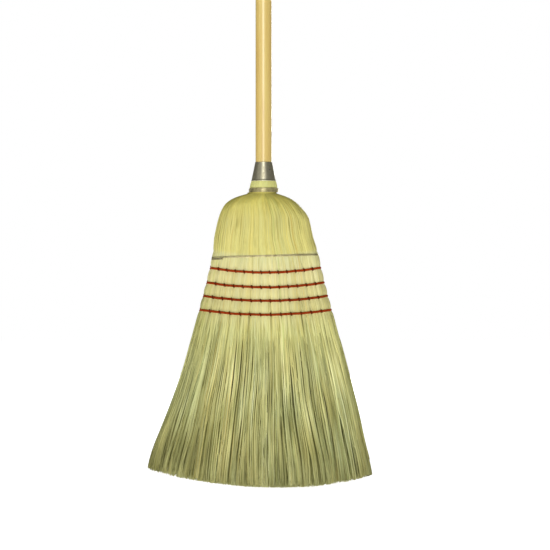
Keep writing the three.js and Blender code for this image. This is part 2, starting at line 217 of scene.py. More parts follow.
def section_lift(height, x, half_width):
    """Strands fan out, so a section across them all curves up towards the head's edges."""
    trimmed = clamp01(1 - height / LAST_ROW)
    flat = smooth((385 - height) / 40)
    return trimmed * trim_height(x) + (1 - trimmed) * flat * ROW_RISE * (x / half_width) ** 2


def head_section(height):
    """Half width, half depth and squareness of the section whose middle is at height."""
    guess = curve_through(HEAD[:, 0], HEAD[:, 1], height)
    rise = (section_lift(height, guess, guess) + section_lift(height, -guess, guess)) / 2
    half_width = curve_through(HEAD[:, 0], HEAD[:, 1], height + rise)
    half_depth = curve_through(HEAD[:, 0], HEAD[:, 2], height)
    squareness = curve_through(HEAD[:, 0], HEAD[:, 3], height)
    return half_width, half_depth, squareness


def lean(height, across):
    """The real head is a little lopsided: its left shoulder and left tip corner stand out.

    Low in the brush two broad locks also swing to the right.
    """
    tip = -5.5 * smooth((120 - height) / 110) * across**4
    locks = 8.0 * np.exp(-(((across - 0.4) / 0.22) ** 2)) + 4.5 * np.exp(-(((across + 0.6) / 0.22) ** 2))
    middle = 2.8 * smooth((height - 60) / 130) * smooth((372 - height) / 40)
    shoulder = -3.0 * smooth(1 - np.abs(height - 422) / 26)
    return tip + locks * smooth((135 - height) / 110) + middle + shoulder


def section_outline(height, angle):
    """A point of the section and the outward normal there, both in the section's plane."""
    half_width, half_depth, squareness = head_section(height)
    c, s = np.cos(angle), np.sin(angle)
    power = 2 / squareness
    x = np.sign(c) * half_width * np.abs(c) ** power
    y = np.sign(s) * half_depth * np.abs(s) ** power
    steep = power * (squareness - 1)
    normal = np.stack(
        [
            np.sign(c) * np.abs(c) ** steep / half_width,
            np.sign(s) * np.abs(s) ** steep / half_depth,
            np.zeros_like(c),
        ],
        axis=-1,
    )
    return x, y, half_width, unit(normal)


REFERENCE_HEIGHT = 250.0  # shares of the way round are measured here
ROWS_MIDDLE = 290.0
OUTLINE_ANGLES = np.linspace(-math.pi, math.pi, 2881)


def outline_shares():
    """How far round the section each outline angle is, as a share of the whole way."""
    x, y, _, _ = section_outline(np.full_like(OUTLINE_ANGLES, REFERENCE_HEIGHT), OUTLINE_ANGLES)
    run = np.concatenate([[0], np.cumsum(np.hypot(np.diff(x), np.diff(y)))])
    return run / run[-1]


OUTLINE_SHARES = outline_shares()


def angle_at(share):
    """The section angle at a share of the way round, by length: 0 left, 0.25 front, 0.5 right."""
    whole = np.floor(share)
    return np.interp(share - whole, OUTLINE_SHARES, OUTLINE_ANGLES) + TAU * whole


def perimeter(height):
    """Length round the section at a height, near enough for spacing strands."""
    half_width, half_depth, _ = head_section(height)
    middle = np.sqrt((3 * half_width + half_depth) * (half_width + 3 * half_depth))
    ellipse = math.pi * (3 * (half_width + half_depth) - middle)
    return ellipse * 1.03


def head_point(height, share, inset):
    """Points inset below the head's surface, and the outward normals there."""
    height, share, inset = np.broadcast_arrays(height, share, inset)
    x, y, half_width, normal = section_outline(height, angle_at(share))
    x = x - normal[..., 0] * inset
    y = y - normal[..., 1] * inset
    z = height + section_lift(height, x, half_width)
    return np.stack([x + lean(height, x / half_width), y, z], axis=-1), normal


def stitch_shares(row):
    """Shares of the way round at which a row's stitches cross its wrap on the front.

    On the back they cross it at 1 minus the same shares.
    """
    half_width, _, squareness = head_section(np.array(ROW_HEIGHTS[row]))
    across = STITCHED_SHARE * np.linspace(-1, 1, STITCHES)
    cosine = np.sign(across) * np.abs(across) ** (squareness / 2)
    return np.interp(-np.arccos(cosine), OUTLINE_ANGLES, OUTLINE_SHARES)


def sewn(height):
    """1 where the sewing holds the corn, down to 0 in the brush."""
    return smooth((height - FREE_BELOW) / 20)


def dimple(height, share):
    """How far the sewing pulls the corn in, in millimetres."""
    depth = np.zeros(np.broadcast(height, share).shape)
    length = perimeter(np.array(ROWS_MIDDLE))
    folded = np.mod(share, 1.0)
    for row, centre in enumerate(ROW_HEIGHTS):
        away = height - centre
        depth += ROW_PINCH * np.exp(-((away / 4.5) ** 2))
        column = np.zeros_like(depth)
        for at in stitch_shares(row):
            for side in (at, 1 - at):
                gap = (folded - side) * length
                column = np.maximum(column, np.exp(-((gap / 1.9) ** 2)))
        depth += 1.3 * column * np.exp(-((away / 8.0) ** 2))
    band = height - BAND_HEIGHT
    depth += 0.9 * np.exp(-((band / 3.0) ** 2))
    return depth * sewn(height)


# ---------------------------------------- meshes


def mesh_object(name, vertices, loops, sizes, material, colours=None):
    """A smooth-shaded mesh from vertices in millimetres, its loops in one row and each face's size."""
    mesh = bpy.data.meshes.new(name)
    vertices = np.ascontiguousarray(vertices, dtype=np.float32).reshape(-1, 3) * MM
    loops = np.ascontiguousarray(loops, dtype=np.int32).ravel()
    sizes = np.asarray(sizes, dtype=np.int32)
    mesh.vertices.add(len(vertices))
    mesh.vertices.foreach_set("co", vertices.ravel())
    mesh.loops.add(len(loops))
    mesh.loops.foreach_set("vertex_index", loops)
    mesh.polygons.add(len(sizes))
    mesh.polygons.foreach_set("loop_start", np.concatenate([[0], np.cumsum(sizes)[:-1]]).astype(np.int32))
    mesh.update(calc_edges=True)
    mesh.shade_smooth()
    if colours is not None:
        layer = mesh.color_attributes.new(name="tint", type="FLOAT_COLOR", domain="POINT")
        flat = np.ones((len(vertices), 4), dtype=np.float32)
        flat[:, :3] = np.clip(colours.reshape(-1, 3), 0, 1)
        layer.data.foreach_set("color", flat.ravel())
    mesh.materials.append(material)
    piece = bpy.data.objects.new(name, mesh)
    bpy.context.collection.objects.link(piece)
    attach(piece, "root")
    return piece


def tubes(name, paths, normals, half_width, half_thick, sides, material, colours=None):
    """Closed tubes along paths (strand, station, xyz), wide across and thin along the normals."""
    strands, stations, _ = paths.shape
    tangent = unit(np.gradient(paths, axis=1))
    across = unit(np.cross(tangent, normals))
    out = unit(np.cross(across, tangent))
    angle = TAU * (np.arange(sides) + 0.5) / sides
    ring = (
        paths[:, :, None, :]
        + (half_width[:, :, None] * np.cos(angle))[..., None] * across[:, :, None, :]
        + (half_thick[:, :, None] * np.sin(angle))[..., None] * out[:, :, None, :]
    )
    first = np.arange(strands)[:, None, None] * stations * sides
    k = np.arange(stations - 1)[None, :, None] * sides
    i = np.arange(sides)[None, None, :]
    j = (i + 1) % sides
    quads = np.stack([first + k + j, first + k + i, first + k + sides + i, first + k + sides + j], axis=-1)
    ends = np.arange(strands)[:, None] * stations * sides
    start_caps = ends + np.arange(sides)[None, :]
    end_caps = ends + (stations - 1) * sides + np.arange(sides)[::-1][None, :]
    loops = np.concatenate([quads.ravel(), start_caps.ravel(), end_caps.ravel()])
    sizes = np.concatenate([np.full(quads.size // 4, 4), np.full(2 * strands, sides)])
    if colours is not None:
        colours = np.repeat(colours[:, :, None, :], sides, axis=2)
    return mesh_object(name, ring, loops, sizes, material, colours)


def turned(name, profile, sides, material, wobble=None):
    """A body turned about Z from (radius, z) pairs; wobble adds to the radius by angle."""
    profile = np.array(profile, dtype=float)
    count = len(profile)
    angle = TAU * np.arange(sides) / sides
    radius = profile[None, :, 0] * np.ones((sides, 1))
    if wobble is not None:
        radius = radius + wobble(angle)[:, None] * (profile[None, :, 0] > 0)
    points = np.stack(
        [
            radius * np.cos(angle)[:, None],
            radius * np.sin(angle)[:, None],
            np.broadcast_to(profile[None, :, 1], (sides, count)),
        ],
        axis=-1,
    )
    i = np.arange(sides)[:, None]
    k = np.arange(count - 1)[None, :]
    j = (i + 1) % sides
    quads = np.stack([i * count + k, j * count + k, j * count + k + 1, i * count + k + 1], axis=-1)
    piece = mesh_object(name, points, quads.ravel(), np.full(quads.size // 4, 4), material)
    weld(piece)
    return piece


def weld(piece):
    """Merges doubled vertices, such as a turned body's points on its axis."""
    body = bmesh.new()
    body.from_mesh(piece.data)
    bmesh.ops.remove_doubles(body, verts=body.verts, dist=1e-7)
    bmesh.ops.dissolve_degenerate(body, edges=body.edges, dist=1e-8)
    bmesh.ops.recalc_face_normals(body, faces=body.faces)
    body.to_mesh(piece.data)
    body.free()
    piece.data.shade_smooth()


# ---------------------------------------- materials


def linear(red, green, blue):
    """A linear colour from red, green and blue out of 255."""
    values = np.array([red, green, blue]) / 255
    return np.where(values <= 0.04045, values / 12.92, ((values + 0.055) / 1.055) ** 2.4)


class Look:
    """A new material, with the few kinds of node that the broom's materials share."""

    def __init__(self, name, roughness, metallic=0.0, specular=0.5):
        self.material = bpy.data.materials.new(name)
        self.material.use_nodes = True
        self.nodes = self.material.node_tree.nodes
        self.links = self.material.node_tree.links
        self.inputs = self.nodes["Principled BSDF"].inputs
        self.inputs["Roughness"].default_value = roughness
        self.inputs["Metallic"].default_value = metallic
        self.inputs["Specular IOR Level"].default_value = specular

    def noise(self, along, scale, detail, roughness=0.6):
        """Noise over the object, drawn out along the broom when along is small."""
        source = self.nodes.new("ShaderNodeTexCoord")
        mapping = self.nodes.new("ShaderNodeMapping")
        mapping.inputs["Scale"].default_value = (1.0, 1.0, along)
        self.links.new(source.outputs["Object"], mapping.inputs["Vector"])
        texture = self.nodes.new("ShaderNodeTexNoise")
        texture.inputs["Scale"].default_value = scale
        texture.inputs["Detail"].default_value = detail
        texture.inputs["Roughness"].default_value = roughness
        self.links.new(mapping.outputs["Vector"], texture.inputs["Vector"])
        return texture.outputs["Fac"]

    def remap(self, value, low_in, high_in, low_out, high_out):
        node = self.nodes.new("ShaderNodeMapRange")
        limits = {"From Min": low_in, "From Max": high_in, "To Min": low_out, "To Max": high_out}
        for name, number in limits.items():
            node.inputs[name].default_value = number
        self.links.new(value, node.inputs["Value"])
        return node.outputs["Result"]

    def mixed(self, share, first, second, blend="MIX"):
        """A mix of two colours, each a socket or a linear colour; share is a socket or a number."""
        node = self.nodes.new("ShaderNodeMix")
        node.data_type = "RGBA"
        node.blend_type = blend
        for socket, value in ((node.inputs[0], share), (node.inputs[6], first), (node.inputs[7], second)):
            if isinstance(value, bpy.types.NodeSocket):
                self.links.new(value, socket)
            elif isinstance(value, float):
                socket.default_value = value
            else:
                socket.default_value = (*value, 1.0)
        return node.outputs[2]

    def tint(self):
        """The colour that each point of the mesh carries."""
        node = self.nodes.new("ShaderNodeAttribute")
        node.attribute_name = "tint"
        return node.outputs["Color"]

    def dimmed(self, colour, shade):
        """A colour times a shade of grey."""
        grey = self.nodes.new("ShaderNodeCombineColor")
        for channel in ("Red", "Green", "Blue"):
            self.links.new(shade, grey.inputs[channel])
        return self.mixed(1.0, colour, grey.outputs["Color"], "MULTIPLY")

    def finish(self, colour, roughness, height, strength, distance):
        """The material with its colour, roughness and a bump of the height given."""
        self.links.new(colour, self.inputs["Base Color"])
        self.links.new(roughness, self.inputs["Roughness"])
        node = self.nodes.new("ShaderNodeBump")
        node.inputs["Strength"].default_value = strength
        node.inputs["Distance"].default_value = distance
        self.links.new(height, node.inputs["Height"])
        self.links.new(node.outputs["Normal"], self.inputs["Normal"])
        return self.material


def corn_material():
    """Dry broomcorn: the strand's own tint, fine lengthwise streaks, specks and a faint waxy gloss."""
    look = Look("broomcorn", 0.55, specular=0.35)
    streaks = look.noise(0.03, 900.0, 3.0)
    streaked = look.dimmed(look.tint(), look.remap(streaks, 0.3, 0.7, 0.94, 1.05))
    patches = look.remap(look.noise(0.25, 130.0, 2.0), 0.52, 0.8, 0.0, 0.3)
    tanned = look.mixed(patches, streaked, linear(206, 190, 130), "MULTIPLY")
    return look.finish(tanned, look.remap(streaks, 0.2, 0.8, 0.42, 0.68), streaks, 0.18, 0.0002)


def twine_material():
    """Red cotton twine: fibres that wind with each ply, faded and soiled in patches."""
    look = Look("red_twine", 0.85, specular=0.08)
    fine = look.noise(2.5, 2200.0, 3.0)
    fibres = look.dimmed(look.tint(), look.remap(fine, 0.3, 0.7, 0.7, 1.2))
    worn = look.remap(look.noise(1.0, 90.0, 2.0), 0.5, 0.75, 0.0, 0.35)
    faded = look.mixed(worn, fibres, linear(168, 70, 30))
    return look.finish(faded, look.remap(fine, 0.2, 0.8, 0.75, 0.95), fine, 0.6, 0.0002)


def wood_material():
    """Lacquered hardwood: long grain, darker pores and a clear coat with faint wear."""
    look = Look("lacquered_wood", 0.42)
    look.inputs["Coat Weight"].default_value = 0.5
    look.inputs["Coat Roughness"].default_value = 0.28
    grain = look.noise(0.035, 240.0, 5.0, 0.65)
    broad = look.remap(look.noise(0.06, 55.0, 2.0, 0.5), 0.35, 0.7, 0.0, 1.0)
    pores = look.remap(look.noise(0.02, 1400.0, 2.0, 0.5), 0.62, 0.75, 0.0, 0.35)
    base = look.mixed(broad, linear(213, 191, 112), linear(204, 170, 88))
    lined = look.mixed(look.remap(grain, 0.5, 0.72, 0.0, 0.55), base, linear(186, 146, 70))
    pored = look.mixed(pores, lined, linear(150, 104, 50))
    return look.finish(pored, look.remap(grain, 0.3, 0.7, 0.36, 0.5), grain, 0.15, 0.0003)


def metal_material(name, colour, tarnish, roughness, tarnish_share, tinted=False):
    """Bare metal with cloudy tarnish and fine rolling marks, times the mesh's tint if it has one (painted
    shade on the wire band).
    """
    look = Look(name, roughness, metallic=1.0)
    cloud = look.noise(1.0, 160.0, 5.0, 0.65)
    marks = look.noise(0.08, 1500.0, 2.0)
    surface = look.mixed(look.remap(cloud, 0.42, 0.7, 0.0, tarnish_share), colour, tarnish)
    if tinted:
        surface = look.mixed(1.0, surface, look.tint(), "MULTIPLY")
    worn = look.remap(cloud, 0.3, 0.75, roughness - 0.06, roughness + 0.18)
    return look.finish(surface, worn, marks, 0.12, 0.0002)


CORN = corn_material()
TWINE = twine_material()
WOOD = wood_material()
TIN = metal_material("tin_plate", linear(196, 190, 164), linear(128, 121, 82), 0.38, 0.5)
WIRE = metal_material("steel_wire", linear(202, 192, 148), linear(108, 96, 50), 0.34, 0.6, tinted=True)
OLD_WIRE = metal_material("old_wire", linear(120, 116, 100), linear(84, 70, 48), 0.45, 0.8)
NAIL = metal_material("nail_steel", linear(120, 118, 110), linear(74, 66, 54), 0.38, 0.7)


# ---------------------------------------- corn colours

# Height and colour of the corn, from the tips up to the butts.
CORN_COLOURS = [
    (0, (172, 171, 112)),
    (60, (186, 185, 122)),
    (120, (198, 198, 134)),
    (180, (206, 204, 138)),
    (230, (201, 199, 129)),
    (260, (200, 193, 128)),
    (310, (211, 203, 142)),
    (340, (204, 200, 139)),
    (345, (202, 194, 114)),
    (395, (202, 193, 112)),
    (424, (202, 192, 98)),
    (436, (190, 180, 92)),
    (444, (212, 210, 130)),
    (460, (214, 212, 134)),
]
COLOUR_HEIGHTS = np.array([row[0] for row in CORN_COLOURS], dtype=float)
COLOUR_VALUES = np.array([linear(*row[1]) for row in CORN_COLOURS])


def corn_colour(height):
    """The usual colour of the corn at a height."""
    return np.stack([np.interp(height, COLOUR_HEIGHTS, COLOUR_VALUES[:, c]) for c in range(3)], axis=-1)


def shaded(light):
    """Colour factors for a share of light: corn in shade looks more yellow, pale corn greyer."""
    return np.stack([light, light, light**1.4], axis=-1)


def strand_tints(rng, count, spread, odd_share):
    """One colour factor for each strand: most pale, some greener or tan, a few brown."""
    hue = rng.normal(0, 1, (count, 1))
    tint = shaded(np.exp(rng.normal(0, spread, count))) * (1 + hue * np.array([0.014, 0.0, -0.05]))
    pick = rng.random(count)
    tint[pick < odd_share] *= np.array([0.96, 0.86, 0.72])
    tint[(pick > 0.5) & (pick < 0.5 + odd_share)] *= np.array([0.84, 0.90, 0.76])
    return tint


# ---------------------------------------- corn


def side_masks(share):
    """Strands of the front half and of the back half."""
    front = np.mod(share, 1.0) < 0.5
    return (("front", front), ("back", ~front))


TUFTS = Tufts(50, 180)
LOCKS = Tufts(51, 62)  # each holds about three tufts


def drawn_together(share, height):
    """Shares gathered into locks, and within them into tufts."""
    most = 0.38 + 0.27 * smooth((105 - height) / 85)
    return TUFTS.drawn(LOCKS.drawn(share, height, most, 90, 0.03), height, 0.86, 60, 0.08)


def blotches(share, height):
    """Differences of shade over the corn, broad and narrow, in factors of red, green and blue."""
    wide = drift(61, share, height, 26, 100)
    narrow = drift(62, share, height, 83, 52)
    warm = drift(63, share, height, 43, 60)
    low = smooth((280 - height) / 170)
    fine = drift(64, share, height, 171, 34)
    light = 1 + (0.045 + 0.08 * low) * wide + (0.045 + 0.26 * low) * narrow + (0.03 + 0.10 * low) * fine
    nick = smooth((drift(65, share, height, 241, 30) - 0.58) / 0.3)
    light = light * (1 - (0.17 + 0.14 * low) * nick)
    side = np.abs(np.mod(share, 1.0) - 0.5)  # 0 at the right edge of the head, 0.5 at its left edge
    # Partly wear and partly painted shade: the left edge of the head, and a little its right edge, darker
    # low down. Partly fresher corn and partly painted light: a lighter band down the middle of each face.
    worn = 0.27 * smooth((side - 0.39) / 0.1) + 0.1 * smooth((0.08 - side) / 0.08)
    fresh_and_lit = 0.11 * np.exp(-(((side - 0.24) / 0.06) ** 2))
    light = light * (1 + (fresh_and_lit - worn) * smooth((310 - height) / 70))
    return shaded(light) * (1 + warm[..., None] * np.array([0.035, 0.0, -0.06]) * (0.5 + low[..., None]))


def parted(share, height):
    """Strands pushed aside by the sewing, so a gap opens above and below each stitch."""
    rng = np.random.default_rng(18)
    length = perimeter(np.array(ROWS_MIDDLE))
    shift = np.zeros(np.broadcast(height, share).shape)
    folded = np.mod(share, 1.0)
    for row, centre in enumerate(ROW_HEIGHTS):
        last = row == ROWS - 1
        away = height - centre
        for at in stitch_shares(row):
            for side in (at, 1 - at):
                below = rng.uniform(14, 34) if last else rng.uniform(4, 9)
                width = rng.uniform(0.4, 2.6) if last else rng.uniform(0.1, 0.9)
                near = np.exp(-((away / np.where(away < 0, below, 6.0)) ** 2))
                gap = (folded - side) * length
                shift += near * width * np.tanh(gap / 0.5) * np.exp(-((gap / 3.5) ** 2))
    return share + shift / length


LONG_STALKS = 0.1  # share of the outer stalks that run nearly down to the trimmed edge
TAIL_TOP = 254.0  # a stalk's stations are evenly spaced above here, and down to its own end below


def stalk_layer(rng, count, inset, lowest, highest):
    """One layer of stalks, from the butts under the ferrule down into the brush."""
    widths = rng.uniform(0.45, 1.7, count)
    share = (np.cumsum(widths) - widths / 2) / widths.sum() + rng.random()
    ends = rng.uniform(lowest, highest, count)
    long = (rng.random(count) < LONG_STALKS) & (inset == 0)
    ends[long] = rng.uniform(4, 70, long.sum())
    # The stations lie closer together over the neck and the shoulders, where the stalks bend.
    heights = np.concatenate(
        [
            np.linspace(STALK_TOP, 436, 6),
            np.linspace(434.5, 396, 18),
            np.linspace(393, TAIL_TOP, 42),
        ]
    )
    tail = np.linspace(0, 1, 16)[1:]
    height = np.concatenate(
        [
            np.broadcast_to(heights, (count, len(heights))),
            TAIL_TOP + (ends[:, None] - TAIL_TOP) * tail[None, :],
        ],
        axis=1,
    )
    share = share[:, None]
    skew = rng.normal(0, 0.0022, (count, 1))
    below = smooth((260 - height) / 180)
    loose = smooth((440 - height) / 60)
    moved = (
        share
        + skew * (height - 300) / 100 * loose
        + 0.0034 * loose * drift(rng.integers(1e6), share, height, 70, 60)
        + 0.004 * below * drift(11, share, height, 46, 110)
        + 0.003 * below * drift(12, share, height, 90, 90)
    )
    moved = drawn_together(parted(moved, height), height)
    lively = 0.18 * loose * drift(rng.integers(1e6), share, height, 97, 30)
    length = perimeter(height)
    overlap = 1.9
    half_width = 0.5 * overlap * (widths / widths.sum())[:, None] * length
    half_width = np.clip(half_width, 0.45, 2.4)
    taper = smooth((height - ends[:, None]) / np.maximum(TAPER_BELOW - ends[:, None], 1))
    half_width = np.where(height < TAPER_BELOW, half_width * (0.22 + 0.78 * taper), half_width)
    half_thick = np.clip(half_width * 0.24, 0.2, 0.55)
    depth = inset + half_thick + lively + dimple(height, moved) + np.where(long, 0.2, 1.8)[:, None] * below
    points, normals = head_point(height, moved, depth)
    tint = strand_tints(rng, count, 0.022, 0.02)
    tint[long] *= rng.uniform(0.96, 1.2, (long.sum(), 1))
    # Painted shade: stalks of the deeper layers are darker.
    colour = corn_colour(height) * blotches(share, height) * tint[:, None, :] * shaded(1 - 0.12 * inset)
    return share[:, 0], points, normals, half_width, half_thick, colour


def make_stalks():
    rng = np.random.default_rng(31)
    layers = [
        ("outer", stalk_layer(rng, 230, 0.0, 150, 240), 6),
        ("middle", stalk_layer(rng, 236, 0.8, 130, 240), 6),
        ("inner", stalk_layer(rng, 200, 1.7, 170, 245), 5),
    ]
    for layer, (share, *arrays), sides in layers:
        for side, mask in side_masks(share):
            points, normals, half_width, half_thick, colour = (a[mask] for a in arrays)
            piece = tubes(
                f"{side}_{layer}_stalks", points, normals, half_width, half_thick, sides, CORN, colour
            )
            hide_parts(f"{side}_cover_corn")


SHORT_FIBRES = 0.10
STRAY_FIBRES = 0.14
SPLAYED_FIBRES = 0.03


def brush_fibres(rng, count, shallow, deep, stations, shade):
    """Fine fibres that leave the stalks about the lowest stitched row and run to the trimmed edge."""
    share = rng.random(count)[:, None]
    start = np.where(rng.random(count) < 0.62, rng.uniform(246, 275, count), rng.uniform(90, 245, count))
    index = TUFTS.index(share)
    uneven = 2.3 * np.abs(TUFTS.shorter[index]) + 2.4 * np.abs(drift(15, share, share * 0, 57, 40))
    missing = rng.exponential(1.9, count) + uneven[:, 0]
    short = rng.random(count) < SHORT_FIBRES
    missing[short] += rng.uniform(3, 30, short.sum())
    stop = np.clip(missing, 0.2, 60)
    run = np.linspace(0, 1, stations)[None, :]
    height = start[:, None] + (stop - start)[:, None] * run
    free = clamp01((TAPER_BELOW - height) / TAPER_BELOW)
    spread = rng.uniform(0, 1, count)[:, None]
    layer_depth = shallow + (deep - shallow) * spread
    phase = rng.uniform(0, TAU, (3, count, 1))
    wave = (
        np.sin(height / 21 + phase[0]) * 0.15
        + np.sin(height / 47 + phase[1]) * 0.25
        + np.sin(height / 95 + phase[2]) * 0.35
    )
    clump = 3.4 * drift(11, share, height, 46, 110) + 2.2 * drift(12, share, height, 90, 90)
    swing = rng.normal(0, 0.7, (count, 1))
    stray = np.where(rng.random(count) < STRAY_FIBRES, rng.normal(0, 6.5, count), 0)[:, None]
    sideways = free**0.8 * clump * 0.8 + free**1.2 * (wave + swing * free + stray * free)
    moved = drawn_together(parted(share, height), height) + sideways / perimeter(height)
    rise = smooth((LOOSE_BELOW - height) / 60)
    forward = TUFTS.forward[index]
    depth = (1 - rise) * 3.0 + rise * (layer_depth + 0.5 * forward)
    depth += free * 0.8 * np.sin(height / 37 + phase[2]) - 0.6 * rise * drift(14, share, height, 60, 60)
    splay = np.where(rng.random(count) < SPLAYED_FIBRES, rng.uniform(0.5, 2.5, count), 0)[:, None]
    depth = np.maximum(depth, -0.4) - splay * smooth((120 - height) / 120)
    points, normals = head_point(height, moved, depth)
    thickness = np.exp(rng.normal(0, 0.2, count))[:, None]
    radius = thickness * (0.34 + 0.26 * (height - stop[:, None]) / 250)
    tint = strand_tints(rng, count, 0.06, 0.045)
    # Painted shade: the shade given for each layer, and a deeper place within it, darken the fibres.
    buried = shade * (1 - 0.2 * spread)
    light = buried * (1 + 0.09 * forward + 0.08 * LOCKS.forward[LOCKS.index(share)])
    colour = corn_colour(height) * blotches(share, height) * tint[:, None, :] * shaded(light)
    return share[:, 0], points, normals, radius, radius * 0.85, colour


def make_brush():
    rng = np.random.default_rng(77)
    groups = [
        ("outer", brush_fibres(rng, 2000, 0.2, 2.4, 20, 1.0), 4),
        ("middle", brush_fibres(rng, 2200, 2.0, 5.0, 16, 0.74), 4),
        ("inner", brush_fibres(rng, 2200, 4.5, 9.0, 12, 0.46), 3),
    ]
    for layer, (share, *arrays), sides in groups:
        for side, mask in side_masks(share):
            points, normals, half_width, half_thick, colour = (a[mask] for a in arrays)
            piece = tubes(
                f"{side}_{layer}_fibres", points, normals, half_width, half_thick, sides, CORN, colour
            )
            if layer == "outer":
                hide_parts(f"{side}_cover_corn")
            if layer == "inner":
                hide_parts("left_shoulder_corn", "right_shoulder_corn")


def make_core():
    """The bundle inside, a ridged body behind the stalks and fibres, painted dark as the shade that shows
    between them.
    """
    heights = np.concatenate([np.linspace(22, 250, 30), np.linspace(256, 452, 50)])
    share = np.arange(180) / 180
    height, around = np.meshgrid(heights, share, indexing="ij")
    inset = 3.6 + 6.0 * smooth((LOOSE_BELOW - height) / 110)
    ridges = 0.7 * drift(21, around, height, 90, 400) + 0.3 * drift(22, around, height, 179, 300)
    inset = inset + dimple(height, around) + ridges
    neck = smooth((height - 426) / 8)
    inset = inset * (1 - neck) + 2.2 * neck
    points, _ = head_point(height, around, inset)
    rows, columns = points.shape[:2]
    k = np.arange(rows - 1)[:, None] * columns
    i = np.arange(columns)[None, :]
    j = (i + 1) % columns
    quads = np.stack([k + i, k + j, k + columns + j, k + columns + i], axis=-1)
    bottom = np.arange(columns)[::-1]
    top = (rows - 1) * columns + np.arange(columns)
    loops = np.concatenate([quads.ravel(), bottom, top])
    sizes = np.concatenate([np.full(quads.size // 4, 4), [columns, columns]])
    # Painted shade: the core's colour is dark, darkest low in the brush.
    colour = corn_colour(height) * shaded(0.22 + 0.28 * smooth((height - 240) / 60))
    core = mesh_object("inside_corn_bundle", points, loops, sizes, CORN, colour)
    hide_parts("core_corn")


def make_cut_ends():
    """The cut ends that fill the trimmed edge right across the bundle."""
    rng = np.random.default_rng(5)
    count = 5200
    share = rng.random(count)[:, None]
    shrink = np.sqrt(rng.random(count))[:, None] * 0.93
    run = np.array([[1.0, 0.62, 0.25, 0.0]])
    stop = rng.exponential(2.2, (count, 1)).clip(0.2, 12)
    height = stop + (rng.uniform(45, 125, (count, 1)) - stop) * run
    surface, normals = head_point(height, share, 1.0)
    middle = np.stack([lean(height, 0 * height), 0 * height, surface[..., 2]], axis=-1)
    points = middle + (surface - middle) * shrink[..., None]
    points[..., 2] += trim_height(points[..., 0]) - trim_height(surface[..., 0])
    points[:, :, :2] += rng.normal(0, 1.0, (count, 1, 2)) + rng.normal(0, 0.35, (count, 4, 2))
    radius = np.exp(rng.normal(0, 0.2, count))[:, None] * np.array([[0.3, 0.55, 0.5, 0.4]])
    tint = strand_tints(rng, count, 0.16, 0.05)
    # Painted shade: each cut end is darker the further it runs up into the bundle.
    colour = corn_colour(height) * tint[:, None, :] * shaded(np.array([[0.3, 0.4, 0.65, 0.95]]))
    piece = tubes("cut_fibre_ends", points, normals, radius, radius, 3, CORN, colour)
    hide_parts("core_corn")


# ---------------------------------------- twine and wire


def resampled(points, step):
    """A polyline turned into points an even step apart."""
    run = np.concatenate([[0], np.cumsum(np.linalg.norm(np.diff(points, axis=0), axis=1))])
    count = max(2, int(round(run[-1] / step)) + 1)
    at = np.linspace(0, run[-1], count)
    return np.stack([np.interp(at, run, points[:, c]) for c in range(3)], axis=-1)


def rounded(points, times):
    """A polyline with its corners cut smooth, its ends kept."""
    for _ in range(times):
        cut = np.empty((2 * len(points) - 2, 3))
        cut[0::2] = points[:-1] * 0.75 + points[1:] * 0.25
        cut[1::2] = points[:-1] * 0.25 + points[1:] * 0.75
        points = np.concatenate([points[:1], cut, points[-1:]])
    return points


def steady_normals(path):
    """Normals that turn with a path as little as they can."""
    tangent = unit(np.gradient(path, axis=0))
    normal = np.cross(tangent[0], [0.31, 0.22, 0.93])
    found = []
    for direction in tangent:
        normal = normal - direction * np.dot(normal, direction)
        normal = normal / np.linalg.norm(normal)
        found.append(normal)
    return np.array(found), tangent


def plied(path, plies, radius, pitch):
    """Paths and normals of the plies of a twine laid along a path."""
    normal, tangent = steady_normals(path)
    side = np.cross(tangent, normal)
    run = np.concatenate([[0], np.cumsum(np.linalg.norm(np.diff(path, axis=0), axis=1))])
    away = radius * 0.5
    paths, normals = [], []
    for k in range(plies):
        angle = TAU * (run / pitch + k / plies)
        out = np.cos(angle)[:, None] * normal + np.sin(angle)[:, None] * side
        paths.append(path + away * out)
        normals.append(out)
    return np.array(paths), np.array(normals)


TWINE_RED = linear(146, 52, 11)
WRAP_RADIUS = 1.85
LACE_RADIUS = 1.05


def twine(name, path, plies, radius, pitch, rng, dark=1.0):
    """A twisted twine along a path."""
    paths, normals = plied(path, plies, radius, pitch)
    shape = paths.shape[:2]
    width = np.full(shape, radius * 0.56) * (1 + 0.05 * rng.normal(size=shape))
    # dark scales the whole twine's colour; the laces pass 0.4, painted shade where they pull into the
    # wrap.
    tone = dark * (1 + 0.12 * rng.normal(size=(plies, 1, 1))) * np.ones((*shape, 1))
    colour = tone * TWINE_RED
    return tubes(name, paths, normals, width, width, 7, TWINE, colour)


def wrap_path(row):
    """The twine laid once round the head, its ends side by side at the left edge."""
    centre = ROW_HEIGHTS[row]
    share = np.linspace(-0.012, 1.012, 900)  # a little more than once round
    length = perimeter(np.array(centre))
    dip = np.zeros_like(share)
    for at in stitch_shares(row):
        for side in (at, 1 - at):
            dip = np.maximum(dip, np.exp(-(((share - side) * length / 2.2) ** 2)))
    height = centre + 0.25 * drift(40 + row, share, np.zeros_like(share), 40, 50)
    ends = smooth((np.abs(share - 0.5) - 0.478) / 0.02)
    height = height + np.sign(share - 0.5) * 1.6 * ends
    out = WRAP_RADIUS * 0.62 - dip * 1.25
    at_side = np.abs(np.cos(angle_at(share))) ** 8
    points, _ = head_point(height, share, ROW_PINCH - out + 1.9 * at_side)
    return resampled(points, 0.62)


